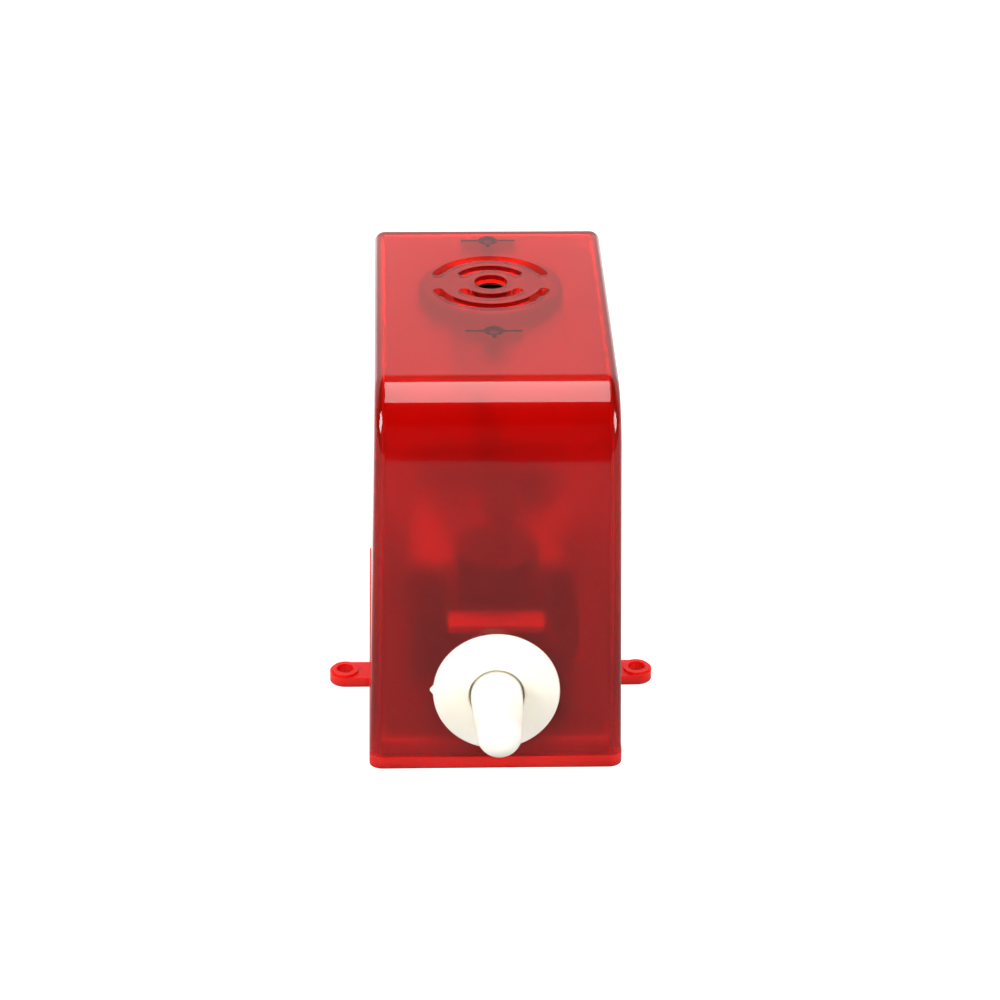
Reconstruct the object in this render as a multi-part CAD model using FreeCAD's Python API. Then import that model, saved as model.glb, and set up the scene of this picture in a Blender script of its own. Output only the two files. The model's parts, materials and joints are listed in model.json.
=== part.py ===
"""Door plunger alarm siren: a red box on a screwed base, a buzzer and a sprung plunger switch.

Millimetres. X runs to the right, Y to the back and Z up. The origin is the middle of the
underside of the base plate, and the plunger points to the front, along -Y.
"""
import FreeCAD, Part
import math
import os

V = FreeCAD.Vector

# ---------------------------------------------------------------- driving dimensions
BASE_T = 3.0            # base plate thickness
HEIGHT = 92.0           # underside of the base to the top of the cover
BOTTOM_W = 58.0         # cover width where it meets the base
TOP_W = 54.6            # cover width at the top
FRONT_LOW = -49.0       # front wall where it meets the base
FRONT_HIGH = -43.8      # front wall where the top front curve begins
BACK_LOW = 51.4         # back wall where it meets the base
BACK_HIGH = 49.4        # back wall at the top
NOSE_R = 14.0           # top front curve
EDGE_R = 2.5            # all other outside edges of the cover
WALL = 2.0              # cover wall
EAR_X = 35.0            # screw holes in the ears, each side of the middle
EAR_Y = -9.5
EAR_R = 3.7
EAR_HOLE_R = 2.05
EAR_STEP = 0.5          # the ring round each hole stands this much above its ear
GRILLE_Y = 18.5         # middle of the grille and of the buzzer
AXIS_Z = 20.0           # plunger axis where it meets the front wall
FLANGE_R = 14.5
BORE_R = 5.95           # bore that the plunger slides in
BARREL_R = 8.0
PLUNGER_R = 5.9
BOX_FRONT = -13.0       # battery box
BOX_BACK = 44.0
BOX_HALF_W = 19.8
BOX_TOP = 32.4
BOARD_T = 1.6
COIL_Y = -25.0          # choke coil on the board's tongue
BUZZER_R = 17.0
BUZZER_SCREW = 25.0     # buzzer screws, each side of the buzzer's middle
LEAD_R = 0.6

FAR = 200.0             # longer than the object, for cutting tools
NOSE_TOP = HEIGHT - NOSE_R
LEAN = math.degrees(math.atan((FRONT_HIGH - FRONT_LOW) / (NOSE_TOP - BASE_T)))
SLOPE = math.tan(math.radians(LEAN))
AXIS_Y = FRONT_LOW + (AXIS_Z - BASE_T) * SLOPE
CEILING = HEIGHT - WALL
BOARD_TOP = BOX_TOP + BOARD_T


# ---------------------------------------------------------------- shape helpers
def block(x0, x1, y0, y1, z0, z1):
    """Box between two corners."""
    return Part.makeBox(x1 - x0, y1 - y0, z1 - z0, V(x0, y0, z0))


def rod(radius, start, end):
    """Round bar from one point to another."""
    axis = V(*end) - V(*start)
    return Part.makeCylinder(radius, axis.Length, V(*start), axis)


def turned(profile):
    """Solid of revolution about the local Y axis: profile points are (radius, along)."""
    points = [V(r, s, 0) for r, s in profile]
    face = Part.Face(Part.makePolygon(points + points[:1]))
    return face.revolve(V(0, 0, 0), V(0, 1, 0), 360)


def joined(shapes):
    """One solid from pieces that overlap."""
    return shapes[0].fuse(shapes[1:]).removeSplitter()


def group(shapes):
    """Separate solids kept in one node."""
    return Part.makeCompound(shapes)


def tilted(shape):
    """Moves a switch piece from its own frame (axis along +Y, wall face at 0) to the wall."""
    out = shape.copy()
    seat = FreeCAD.Placement(V(0, AXIS_Y, AXIS_Z), FreeCAD.Rotation(V(1, 0, 0), -LEAN))
    out.Placement = seat.multiply(shape.Placement)
    return out


def on_axis(x, s, z=0.0):
    """A point of the switch's own frame, in the object's frame."""
    turn = FreeCAD.Rotation(V(1, 0, 0), -LEAN)
    p = turn.multVec(V(x, s, z)) + V(0, AXIS_Y, AXIS_Z)
    return (p.x, p.y, p.z)


def lead(points, radius=LEAD_R):
    """Round wire along straight runs joined by tangent arcs, as large as the runs allow."""
    pts = [V(*p) for p in points]
    edges = []
    at = pts[0]
    for before, corner, after in zip(pts, pts[1:], pts[2:]):
        a = (before - corner).normalize()
        b = (after - corner).normalize()
        half = (math.pi - a.getAngle(b)) / 2
        shorter = min((corner - before).Length, (after - corner).Length)
        bend = 0.45 * shorter / math.tan(half)
        cut = 0.45 * shorter
        first = corner + a * cut
        last = corner + b * cut
        bisector = (a + b).normalize()
        centre = corner + bisector * (bend / math.cos(half))
        middle = centre - bisector * bend
        edges.append(Part.LineSegment(at, first).toShape())
        edges.append(Part.Arc(first, middle, last).toShape())
        at = last
    edges.append(Part.LineSegment(at, pts[-1]).toShape())
    path = Part.Wire(edges)
    direction = pts[1] - pts[0]
    ring = Part.Wire([Part.makeCircle(radius, pts[0], direction)])
    wire = path.makePipeShell([ring], True, False)
    expected = math.pi * radius ** 2 * path.Length
    print("lead length %.1f volume ratio %.3f" % (path.Length, wire.Volume / expected))
    return wire


# ---------------------------------------------------------------- cover
def shell_block(inset, nose_r, edge_r):
    """The cover's drafted box, inset from the outside by a wall, and rounded."""
    top = HEIGHT - inset
    nose_top = top - nose_r
    half_low = BOTTOM_W / 2 - inset
    half_high = TOP_W / 2 - inset
    draft = (half_low - half_high) / (HEIGHT - BASE_T)
    lean = inset / math.cos(math.radians(LEAN))
    front_low = FRONT_LOW + lean
    front_high = FRONT_LOW + (nose_top - BASE_T) * SLOPE + lean
    turn = math.radians(90 - LEAN)
    centre = V(0, front_high + nose_r * math.cos(math.radians(LEAN)), 0)
    centre.z = nose_top - nose_r * math.sin(math.radians(LEAN))
    rise = top - (centre.z + nose_r)
    centre.z += rise
    centre.y += rise * SLOPE
    start = centre + V(0, -math.cos(math.radians(LEAN)), math.sin(math.radians(LEAN))) * nose_r
    half = math.radians(LEAN) + turn / 2
    middle = centre + V(0, -math.cos(half), math.sin(half)) * nose_r
    end = centre + V(0, 0, nose_r)
    back_low = V(0, BACK_LOW - inset, BASE_T)
    back_high = V(0, BACK_HIGH - inset, top)
    front = V(0, front_low, BASE_T)
    side = Part.Wire([
        Part.LineSegment(front, start).toShape(),
        Part.Arc(start, middle, end).toShape(),
        Part.LineSegment(end, back_high).toShape(),
        Part.LineSegment(back_high, back_low).toShape(),
        Part.LineSegment(back_low, front).toShape(),
    ])
    body = Part.Face(side).extrude(V(FAR, 0, 0))
    body.translate(V(-FAR / 2, 0, 0))
    narrow = half_low - draft * (top - BASE_T)
    corners = [(-half_low, BASE_T), (half_low, BASE_T), (narrow, top), (-narrow, top)]
    outline = Part.makePolygon([V(x, -FAR / 2, z) for x, z in corners + corners[:1]])
    body = body.common(Part.Face(outline).extrude(V(0, FAR, 0)))
    sharp = [e for e in body.Edges if not on_rim(e) and not across_nose(e)]
    return body.makeFillet(edge_r, sharp)


def on_rim(edge):
    """True for an edge that lies in the cover's open underside."""
    return edge.BoundBox.ZMax < BASE_T + 0.1


def across_nose(edge):
    """True for the straight edges where the top front curve meets its flat walls."""
    box = edge.BoundBox
    return box.XLength > TOP_W / 2 and box.YMax < 0


def arc_slot(r_in, r_out, gap, side):
    """Half of a ring-shaped grille slot with rounded ends, in front (-1) or behind (+1)."""
    low = CEILING - 1.0
    tall = WALL + 2.0
    ring = Part.makeCylinder(r_out, tall, V(0, GRILLE_Y, low))
    ring = ring.cut(Part.makeCylinder(r_in, tall, V(0, GRILLE_Y, low)))
    mid = (r_in + r_out) / 2
    tip = (r_out - r_in) / 2
    off = gap / 2 + tip
    reach = math.sqrt(mid ** 2 - off ** 2)
    near = GRILLE_Y + side * off
    far = GRILLE_Y + side * (r_out + 1)
    keep = block(-r_out - 1, r_out + 1, min(near, far), max(near, far), low, low + tall)
    ends = [Part.makeCylinder(tip, tall, V(x, near, low)) for x in (-reach, reach)]
    return ring.common(keep).fuse(ends)


BUZZER_TOP = CEILING - 0.2
BUZZER_H = 5.6
STRAP_TOP = BUZZER_TOP - BUZZER_H
COVER_SCREW_X = 23.2
COVER_SCREW_Y = 43.6
COVER_BOSS_TOP = 18.0
BOSS_R = 2.8
BUZZER_BOSS_R = 2.4
BUZZER_RIB_HALF = 6.5   # ribs across the buzzer bosses
RIB_DEPTH = 3.2
RIB_HALF_T = 0.5
WEB_HALF_T = 0.8
PILOT_R = 1.0           # pilot hole for a buzzer screw
COVER_PILOT_R = 1.1
SOUND_HOLE_R = 3.9
SLOT_GAP = 7.0          # bridge between the front and back halves of a grille slot
GRILLE_SLOTS = [(6.6, 9.1), (12.0, 14.5)]


def make_cover():
    """Drafted shell, open below, with the grille, buzzer bosses and rear screw bosses."""
    outer = shell_block(0, NOSE_R, EDGE_R)
    inner = shell_block(WALL, NOSE_R - WALL, EDGE_R - WALL + 0.3)
    shell = outer.cut(inner)
    adds = []
    for side in (-1, 1):
        y = GRILLE_Y + side * BUZZER_SCREW
        high = CEILING + 0.5
        low = CEILING - RIB_DEPTH
        adds.append(rod(BUZZER_BOSS_R, (0, y, high), (0, y, STRAP_TOP)))
        adds.append(block(-BUZZER_RIB_HALF, BUZZER_RIB_HALF,
                          y - RIB_HALF_T, y + RIB_HALF_T, low, high))
        adds.append(block(-RIB_HALF_T, RIB_HALF_T, y - 3.6, y + 2.6, low, high))
    for x in (-COVER_SCREW_X, COVER_SCREW_X):
        side = math.copysign(1, x)
        adds.append(rod(BOSS_R, (x, COVER_SCREW_Y, BASE_T), (x, COVER_SCREW_Y, COVER_BOSS_TOP)))
        x0, x1 = sorted((x, x + side * 5.0))
        adds.append(block(x0, x1, COVER_SCREW_Y - WEB_HALF_T, COVER_SCREW_Y + WEB_HALF_T,
                          BASE_T, COVER_BOSS_TOP))
        adds.append(block(x - WEB_HALF_T, x + WEB_HALF_T, COVER_SCREW_Y, BACK_LOW - 1,
                          BASE_T, COVER_BOSS_TOP))
    adds = [a.common(outer) for a in adds]
    shell = joined([shell] + adds)
    cuts = [rod(PILOT_R, (0, GRILLE_Y + s * BUZZER_SCREW, CEILING - 7),
                (0, GRILLE_Y + s * BUZZER_SCREW, CEILING - 1.0)) for s in (-1, 1)]
    cuts += [rod(COVER_PILOT_R, (x, COVER_SCREW_Y, 0), (x, COVER_SCREW_Y, COVER_BOSS_TOP - 2))
             for x in (-COVER_SCREW_X, COVER_SCREW_X)]
    cuts.append(rod(SOUND_HOLE_R, (0, GRILLE_Y, CEILING - 1), (0, GRILLE_Y, HEIGHT + 1)))
    for side in (-1, 1):
        cuts += [arc_slot(r_in, r_out, SLOT_GAP, side) for r_in, r_out in GRILLE_SLOTS]
    cuts.append(tilted(rod(BARREL_R + 0.15, (0, -5, 0), (0, 6, 0))))
    return shell.cut(cuts)


# ---------------------------------------------------------------- base plate
LIP_GAP = 0.3
LIP_T = 1.4
LIP_TOP = BASE_T + 3.2
CLEAR_R = 1.6           # clearance hole of a cover screw
COUNTERBORE_R = 2.9
COUNTERBORE = 1.6       # its depth
EAR_RIM_R = EAR_R - 0.5


def plan_block(inset, z0, z1, corner_r):
    """Upright block with the outline of the cover's rim, inset, and rounded corners."""
    body = block(-BOTTOM_W / 2 + inset, BOTTOM_W / 2 - inset,
                 FRONT_LOW + inset, BACK_LOW - inset, z0, z1)
    upright = [e for e in body.Edges if e.BoundBox.ZLength > (z1 - z0) / 2]
    return body.makeFillet(corner_r, upright)


def make_base_plate():
    """Flat plate with two drilled ears, a locating lip and two counterbored screw holes."""
    parts = [plan_block(-0.2, 0, BASE_T, 3.0)]
    lip_in = WALL + LIP_GAP
    lip = plan_block(lip_in + 0.3, BASE_T - 0.5, LIP_TOP, 1.0)
    lip = lip.cut(plan_block(lip_in + 0.3 + LIP_T, BASE_T - 1, LIP_TOP + 1, 0.8))
    for x in (-COVER_SCREW_X, COVER_SCREW_X):
        lip = lip.cut(rod(BOSS_R + 2.6, (x, COVER_SCREW_Y, 0), (x, COVER_SCREW_Y, LIP_TOP + 1)))
    parts.append(lip)
    rims = []
    for side in (-1, 1):
        x = side * EAR_X
        x0, x1 = sorted((side * (BOTTOM_W / 2 - 2), x))
        parts.append(block(x0, x1, EAR_Y - EAR_R, EAR_Y + EAR_R, 0, BASE_T - EAR_STEP))
        parts.append(rod(EAR_R, (x, EAR_Y, 0), (x, EAR_Y, BASE_T - EAR_STEP)))
        rims.append(rod(EAR_RIM_R, (x, EAR_Y, 0), (x, EAR_Y, BASE_T)))
    plate = joined(parts + rims)
    cuts = []
    for side in (-1, 1):
        x = side * EAR_X
        cuts.append(rod(EAR_HOLE_R, (x, EAR_Y, -1), (x, EAR_Y, BASE_T + 1)))
        x = side * COVER_SCREW_X
        cuts.append(rod(CLEAR_R, (x, COVER_SCREW_Y, -1), (x, COVER_SCREW_Y, BASE_T + 1)))
        cuts.append(rod(COUNTERBORE_R, (x, COVER_SCREW_Y, -1), (x, COVER_SCREW_Y, COUNTERBORE)))
    return plate.cut(cuts)


# ---------------------------------------------------------------- screws
def screw(x, y, z_seat, up, length, thread_r, head_r, head_h):
    """Pan-head screw with a cross recess; up is +1 when it is driven upwards."""
    d = V(0, 0, up)
    seat = V(x, y, z_seat)
    head = Part.makeCylinder(head_r, head_h, seat - d * head_h, d)
    rim = [e for e in head.Edges if e.BoundBox.DiagonalLength > head_r]
    far = max(rim, key=lambda e: (seat - e.CenterOfMass).Length)
    head = head.makeFillet(head_h * 0.45, [far])
    shank = Part.makeCylinder(thread_r, length - thread_r, seat, d)
    point = Part.makeCone(thread_r, 0.25, thread_r, seat + d * (length - thread_r), d)
    body = head.fuse([shank, point])
    a = V(1, 0, 0)
    b = d.cross(a)
    for u, v in ((a, b), (b, a)):
        length_u = head_r * 1.1
        wide = head_r * 0.24
        corner = seat - d * (head_h + 0.1) - u * (length_u / 2) - v * (wide / 2)
        points = [corner, corner + u * length_u, corner + u * length_u + v * wide,
                  corner + v * wide]
        slot = Part.Face(Part.makePolygon(points + points[:1])).extrude(d * (head_h * 0.55))
        body = body.cut(slot)
    return body


def make_cover_screws():
    return group([screw(x, COVER_SCREW_Y, COUNTERBORE, 1, length=12.0, thread_r=COVER_PILOT_R,
                        head_r=2.4, head_h=1.4) for x in (-COVER_SCREW_X, COVER_SCREW_X)])


# ---------------------------------------------------------------- plunger switch
NUT_R = 10.8
NUT_FROM = WALL + 0.05
NUT_TO = 8.0
NUT_RIBS = 24
BARREL_END = 13.0
THREAD_END = 9.5
THREAD_PITCH = 0.9
THREAD_DEPTH = 0.6
THREADS = 8
CAP_END = 14.8
STEM_R = 2.0
STEM_END = 22.0
SHOULDER = 1.0          # rear face of the plunger's body at rest
TIP_CENTRE = -20.8
TIP_R = 5.15
CAM_FROM = 16.2
CAM_TO = 25.5
CAM_R = 3.4
CAM_END_R = 1.9


def make_switch_body():
    """Domed flange with a gate nub on its rim, and a threaded barrel behind it."""
    hub = 6.9
    root = BARREL_R - THREAD_DEPTH
    profile = [(BORE_R, BARREL_END), (root, BARREL_END), (root, THREAD_END)]
    along = THREAD_END
    for k in range(THREADS):
        profile += [(BARREL_R, along - 0.4), (root, along - THREAD_PITCH)]
        along -= THREAD_PITCH
    profile += [(root, 1.2), (BARREL_R, 1.0), (BARREL_R, 0), (FLANGE_R, 0),
                (FLANGE_R, -0.7), (FLANGE_R - 0.3, -1.05), (FLANGE_R - 0.9, -1.25),
                (10.5, -2.0), (hub + 0.8, -2.45), (hub, -2.5), (6.45, -2.3), (6.3, -1.9),
                (6.3, -0.6), (BORE_R, -0.2)]
    body = turned(profile)
    nub = block(-0.7, 0.7, -0.95, -0.15, FLANGE_R - 0.3, FLANGE_R + 0.75)
    nub.rotate(V(0, 0, 0), V(0, 1, 0), -87)
    return tilted(joined([body, nub]))


def make_guide_nut():
    """Round clamping nut with finger ribs around it."""
    nut = turned([(BARREL_R + 0.05, NUT_FROM), (NUT_R - 0.6, NUT_FROM), (NUT_R, NUT_FROM + 0.6),
                  (NUT_R, NUT_TO - 0.6), (NUT_R - 0.6, NUT_TO), (BARREL_R + 0.05, NUT_TO)])
    notches = []
    for k in range(NUT_RIBS):
        a = 2 * math.pi * k / NUT_RIBS
        x = NUT_R * math.cos(a)
        z = NUT_R * math.sin(a)
        notches.append(rod(0.55, (x, NUT_FROM - 1, z), (x, NUT_TO + 1, z)))
    return tilted(nut.cut(notches))


def make_barrel_cap():
    """Disc that closes the barrel behind the spring and guides the plunger's stem."""
    return tilted(turned([(STEM_R + 0.08, BARREL_END), (BORE_R + 1.4, BARREL_END),
                          (BORE_R + 1.4, CAP_END - 0.3), (BORE_R + 1.1, CAP_END),
                          (STEM_R + 0.08, CAP_END)]))


def make_plunger():
    """Round-nosed plunger that narrows to its tip, with a thinner stem behind."""
    start = V(0, TIP_CENTRE - TIP_R, 0)
    angle = math.radians(45)
    on_ball = V(TIP_R * math.sin(angle), TIP_CENTRE - TIP_R * math.cos(angle), 0)
    side = V(TIP_R, TIP_CENTRE, 0)
    rest = [V(PLUNGER_R, -4.0, 0), V(PLUNGER_R, SHOULDER, 0), V(STEM_R, SHOULDER, 0),
            V(STEM_R, STEM_END, 0), V(0, STEM_END, 0)]
    edges = [Part.Arc(start, on_ball, side).toShape()]
    corners = [side] + rest + [start]
    edges += [Part.LineSegment(a, b).toShape() for a, b in zip(corners, corners[1:])]
    body = Part.Face(Part.Wire(edges)).revolve(V(0, 0, 0), V(0, 1, 0), 360)
    return tilted(body)


def make_plunger_cam():
    """Cone on the stem: it keeps the plunger in, and lifts the microswitch lever."""
    return tilted(turned([(STEM_R, CAM_FROM), (CAM_R - 0.3, CAM_FROM), (CAM_R, CAM_FROM + 0.3),
                          (CAM_R, CAM_FROM + 0.6), (CAM_END_R, CAM_TO), (0, CAM_TO),
                          (0, STEM_END), (STEM_R, STEM_END)]))


SPRING_WIRE_R = 0.3
SPRING_R = 3.6
SPRING_TURNS = 6
SPRING_GAP = 0.1        # clear of the shoulder and of the cap


def make_plunger_spring():
    """Round wire coil between the plunger's shoulder and the cap."""
    first = SHOULDER + SPRING_WIRE_R + SPRING_GAP
    length = BARREL_END - SPRING_WIRE_R - SPRING_GAP - first
    steps = 12 * SPRING_TURNS
    points = []
    for k in range(steps + 1):
        a = math.radians(30 * k)
        s = first + length * k / steps
        points.append(V(SPRING_R * math.cos(a), s, SPRING_R * math.sin(a)))
    path = Part.BSplineCurve()
    path.interpolate(points)
    ring = Part.makeCircle(SPRING_WIRE_R, points[0], path.tangent(path.FirstParameter)[0])
    coil = Part.Wire([path.toShape()]).makePipeShell([Part.Wire([ring])], True, True)
    return tilted(coil)


# ---------------------------------------------------------------- microswitch
CASE_X0 = 6.6
CASE_X1 = 16.8
CASE_S0 = 15.0
CASE_S1 = 34.4
CASE_HALF = 3.2
PIVOT_X = 5.6
PIVOT_S = 33.0
PIN_R = 0.5
BUTTON_S = 28.5
BUTTON_TIP_X = 5.55
NOSE_S = 24.6
NOSE_X = 3.5
TERMINALS_S = (17.4, 25.0, 32.6)
CASE_SCREWS_S = (19.9, 29.4)


def make_microswitch_case():
    """Black block with two lugs for the lever's pin, two screw holes and a button hole."""
    case = block(CASE_X0, CASE_X1, CASE_S0, CASE_S1, -CASE_HALF, CASE_HALF)
    long_edges = [e for e in case.Edges if e.BoundBox.ZLength > CASE_HALF]
    case = case.makeFillet(0.5, long_edges)
    parts = [case]
    for side in (-1, 1):
        z0, z1 = sorted((side * 2.45, side * CASE_HALF))
        parts.append(block(PIVOT_X - 1.1, CASE_X0 + 0.5, PIVOT_S - 1.1, PIVOT_S + 1.1, z0, z1))
    case = joined(parts)
    cuts = [rod(PIN_R + 0.05, (PIVOT_X, PIVOT_S, -4), (PIVOT_X, PIVOT_S, 4))]
    cuts += [rod(1.1, (CASE_X1 - 3, s, -5), (CASE_X1 - 3, s, 5)) for s in CASE_SCREWS_S]
    cuts.append(rod(0.85, (CASE_X0 - 1, BUTTON_S, 0), (CASE_X0 + 3.2, BUTTON_S, 0)))
    cuts.append(block(CASE_X0 - 1, CASE_X1 + 1, CASE_S0 - 1, CASE_S1 + 1, 1.55, 1.7).cut(
        block(CASE_X0 + 0.2, CASE_X1 - 0.2, CASE_S0 + 0.2, CASE_S1 - 0.2, 1, 2)))
    return tilted(case.cut(cuts))


def make_microswitch_lever():
    """Thin sprung strip on a pin, with a rolled nose that rides on the cam."""
    run = V(NOSE_X + 1.0 - PIVOT_X, NOSE_S + 1.6 - PIVOT_S, 0)
    side = V(-run.y, run.x, 0).normalize() * 0.2
    a = V(PIVOT_X, PIVOT_S, -2.1)
    b = a + run
    strip = Part.Face(Part.makePolygon([a + side, b + side, b - side, a - side, a + side]))
    strip = strip.extrude(V(0, 0, 4.2))
    pin = rod(PIN_R, (PIVOT_X, PIVOT_S, -3.1), (PIVOT_X, PIVOT_S, 3.1))
    nose = rod(1.1, (NOSE_X, NOSE_S, -2.1), (NOSE_X, NOSE_S, 2.1))
    neck = Part.Face(Part.makePolygon([b + side, V(NOSE_X + 0.7, NOSE_S, -2.1),
                                       V(NOSE_X + 0.2, NOSE_S, -2.1), b - side, b + side]))
    return tilted(joined([strip, neck.extrude(V(0, 0, 4.2)), pin, nose]))


def make_microswitch_button():
    """Small round button that the lever presses into the case."""
    pin = rod(0.8, (BUTTON_TIP_X, BUTTON_S, 0), (CASE_X0 + 2.0, BUTTON_S, 0))
    return tilted(pin)


def make_microswitch_terminals():
    """Three solder blades out of the case's back."""
    blades = []
    for s in TERMINALS_S:
        blade = block(CASE_X1, CASE_X1 + 3.4, s - 1.0, s + 1.0, -0.25, 0.25)
        blades.append(tilted(blade.cut(rod(0.5, (CASE_X1 + 2.2, s, -1), (CASE_X1 + 2.2, s, 1)))))
    return group(blades)


def make_switch_bracket():
    """Ribbed post on the base that carries the microswitch at the plunger's angle."""
    y0 = AXIS_Y + CASE_S0 + 0.5
    y1 = AXIS_Y + CASE_S1 - 0.5
    post = block(CASE_X0 + 0.6, CASE_X1 - 0.4, y0, y1, BASE_T, AXIS_Z + 4)
    mid = (y0 + y1) / 2
    hollow = block(CASE_X0 + 2.2, CASE_X1 + 1, y0 + 1.6, mid - 2.4, BASE_T + 1.5, AXIS_Z - 7)
    hollow2 = block(CASE_X0 + 2.2, CASE_X1 + 1, mid + 2.4, y1 - 1.6, BASE_T + 1.5, AXIS_Z - 7)
    above = tilted(block(-FAR, FAR, -FAR, FAR, -CASE_HALF, FAR))
    cuts = [hollow, hollow2, above]
    cuts += [tilted(rod(0.8, (CASE_X1 - 3, s, -9), (CASE_X1 - 3, s, 5))) for s in CASE_SCREWS_S]
    return post.cut(cuts)


def make_switch_screws():
    """Two screws down through the microswitch into its bracket."""
    made = []
    for s in CASE_SCREWS_S:
        made.append(tilted(screw(CASE_X1 - 3, s, CASE_HALF, -1, 9.0, 0.8, 1.7, 1.1)))
    return group(made)


# ---------------------------------------------------------------- battery and its box
BOX_WALL = 1.6
BATTERY_W = 26.5
BATTERY_H = 17.5
BATTERY_FRONT = -4.6
BATTERY_L = 46.0
BATTERY_Z = BASE_T + BOX_WALL + 0.4
STUD_PITCH = 12.95
STUD_Z = BATTERY_Z + BATTERY_H / 2
BOARD_POSTS = [(-16.6, -9.8), (16.6, -9.8), (-16.6, 20.4), (16.6, 20.4)]


def make_battery_box():
    """Open-topped black box with battery ribs and four corner posts under the board."""
    outer = block(-BOX_HALF_W, BOX_HALF_W, BOX_FRONT, BOX_BACK, BASE_T, BOX_TOP)
    upright = [e for e in outer.Edges if e.BoundBox.ZLength > 5]
    outer = outer.makeFillet(1.0, upright)
    inner = block(-BOX_HALF_W + BOX_WALL, BOX_HALF_W - BOX_WALL, BOX_FRONT + BOX_WALL,
                  BOX_BACK - BOX_WALL, BASE_T + BOX_WALL, BOX_TOP + 1)
    parts = [outer.cut(inner)]
    top = STUD_Z + 2
    for side in (-1, 1):
        x0, x1 = sorted((side * (BATTERY_W / 2 + 0.4), side * (BOX_HALF_W - 0.5)))
        for y in (2.0, 18.0, 34.0):
            parts.append(block(x0, x1, y, y + 1.4, BASE_T + 0.5, top))
    for x, y in BOARD_POSTS:
        x0, x1 = sorted((x - math.copysign(1.9, x), math.copysign(BOX_HALF_W - 0.5, x)))
        parts.append(block(x0, x1, y - 2.0, y + 2.0, BASE_T + 0.5, BOX_TOP))
    box = joined(parts)
    return box.cut([rod(0.85, (x, y, BOX_TOP - 8), (x, y, BOX_TOP + 1)) for x, y in BOARD_POSTS])


def make_battery():
    """Nine-volt block battery lying on its wide side, rounded along its corners."""
    body = block(-BATTERY_W / 2, BATTERY_W / 2, BATTERY_FRONT, BATTERY_FRONT + BATTERY_L,
                 BATTERY_Z, BATTERY_Z + BATTERY_H)
    long_edges = [e for e in body.Edges if e.BoundBox.YLength > 10]
    return body.makeFillet(1.8, long_edges)


def make_battery_terminals():
    """Round stud and six-sided socket on the battery's front end."""
    y = BATTERY_FRONT
    x = STUD_PITCH / 2
    stud = rod(2.8, (-x, y, STUD_Z), (-x, y - 2.8, STUD_Z))
    points = []
    for k in range(7):
        a = math.radians(60 * k)
        points.append(V(x + 4.2 * math.cos(a), y, STUD_Z + 4.2 * math.sin(a)))
    socket = Part.Face(Part.makePolygon(points)).extrude(V(0, -2.8, 0))
    socket = socket.cut(rod(2.85, (x, y + 1, STUD_Z), (x, y - 3, STUD_Z)))
    return group([stud, socket])


def make_battery_snap():
    """Clip over the battery's terminals, with its own pair of contacts."""
    y = BATTERY_FRONT - 2.9
    plate = block(-12.6, 12.6, y - 2.6, y, STUD_Z - 6.2, STUD_Z + 6.2)
    plate = plate.makeFillet(1.5, [e for e in plate.Edges if e.BoundBox.YLength > 2])
    stud = rod(2.75, (STUD_PITCH / 2, y + 2.6, STUD_Z), (STUD_PITCH / 2, y - 1, STUD_Z))
    ring = rod(4.2, (-STUD_PITCH / 2, y + 2.7, STUD_Z), (-STUD_PITCH / 2, y - 1, STUD_Z))
    bore = rod(2.9, (-STUD_PITCH / 2, y + 3, STUD_Z), (-STUD_PITCH / 2, y, STUD_Z))
    return joined([plate, stud, ring]).cut(bore)


def make_battery_pad():
    """Foam pad that keeps the battery still under the board."""
    z = BATTERY_Z + BATTERY_H
    return block(-9.0, 9.0, 6.0, 32.0, z, BOX_TOP - 2.6)


def make_battery_leads():
    """Red and black wires from the snap up to the board."""
    made = []
    y = BATTERY_FRONT - 2.9 - 1.3
    for side in (-1, 1):
        x = side * 7.5
        made.append(lead([(x, y, STUD_Z + 6.2), (x, y, STUD_Z + 10.2),
                          (x - side * 2.5, y + 3.6, STUD_Z + 14.0),
                          (x - side * 2.5, y + 3.6, BOX_TOP)]))
    return group(made)


# ---------------------------------------------------------------- circuit board
BOARD_BACK = 24.0
TONGUE_HALF = 11.0
TONGUE_FRONT = -42.0
COIL_R = 10.0
COIL_TOP = 45.5
COIL_X = 0.4
CHEEK_T = 1.8
CORE_R = 4.5
WINDING_R = 9.4
WINDING_TURNS = 10
PIN_HOLE_R = 1.6        # through the drum
POST_HOLE_R = 1.3       # in the board, over the box's posts


def make_circuit_board():
    """Pale board on the box, with a tongue to the front that carries the choke coil."""
    main = block(-18.4, 19.2, BOX_FRONT + 0.2, BOARD_BACK, BOX_TOP, BOARD_TOP)
    tongue = block(-TONGUE_HALF, TONGUE_HALF, TONGUE_FRONT, BOX_FRONT + 1, BOX_TOP, BOARD_TOP)
    board = joined([main, tongue])
    holes = [rod(POST_HOLE_R, (x, y, 0), (x, y, BOARD_TOP + 1)) for x, y in BOARD_POSTS]
    return board.cut(holes)


def make_board_screws():
    return group([screw(x, y, BOARD_TOP, -1, 7.5, 0.85, 1.9, 1.2) for x, y in BOARD_POSTS])


def make_coil_core():
    """Ferrite drum: a square foot and a round cheek on one core."""
    foot = block(-TONGUE_HALF, TONGUE_HALF, COIL_Y - COIL_R, COIL_Y + COIL_R,
                 BOARD_TOP, BOARD_TOP + CHEEK_T)
    parts = [foot,
             rod(CORE_R, (COIL_X, COIL_Y, BOARD_TOP), (COIL_X, COIL_Y, COIL_TOP)),
             rod(COIL_R, (COIL_X, COIL_Y, COIL_TOP - CHEEK_T), (COIL_X, COIL_Y, COIL_TOP))]
    core = joined(parts)
    return core.cut(rod(PIN_HOLE_R, (COIL_X, COIL_Y, 0), (COIL_X, COIL_Y, COIL_TOP + 1)))


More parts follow.
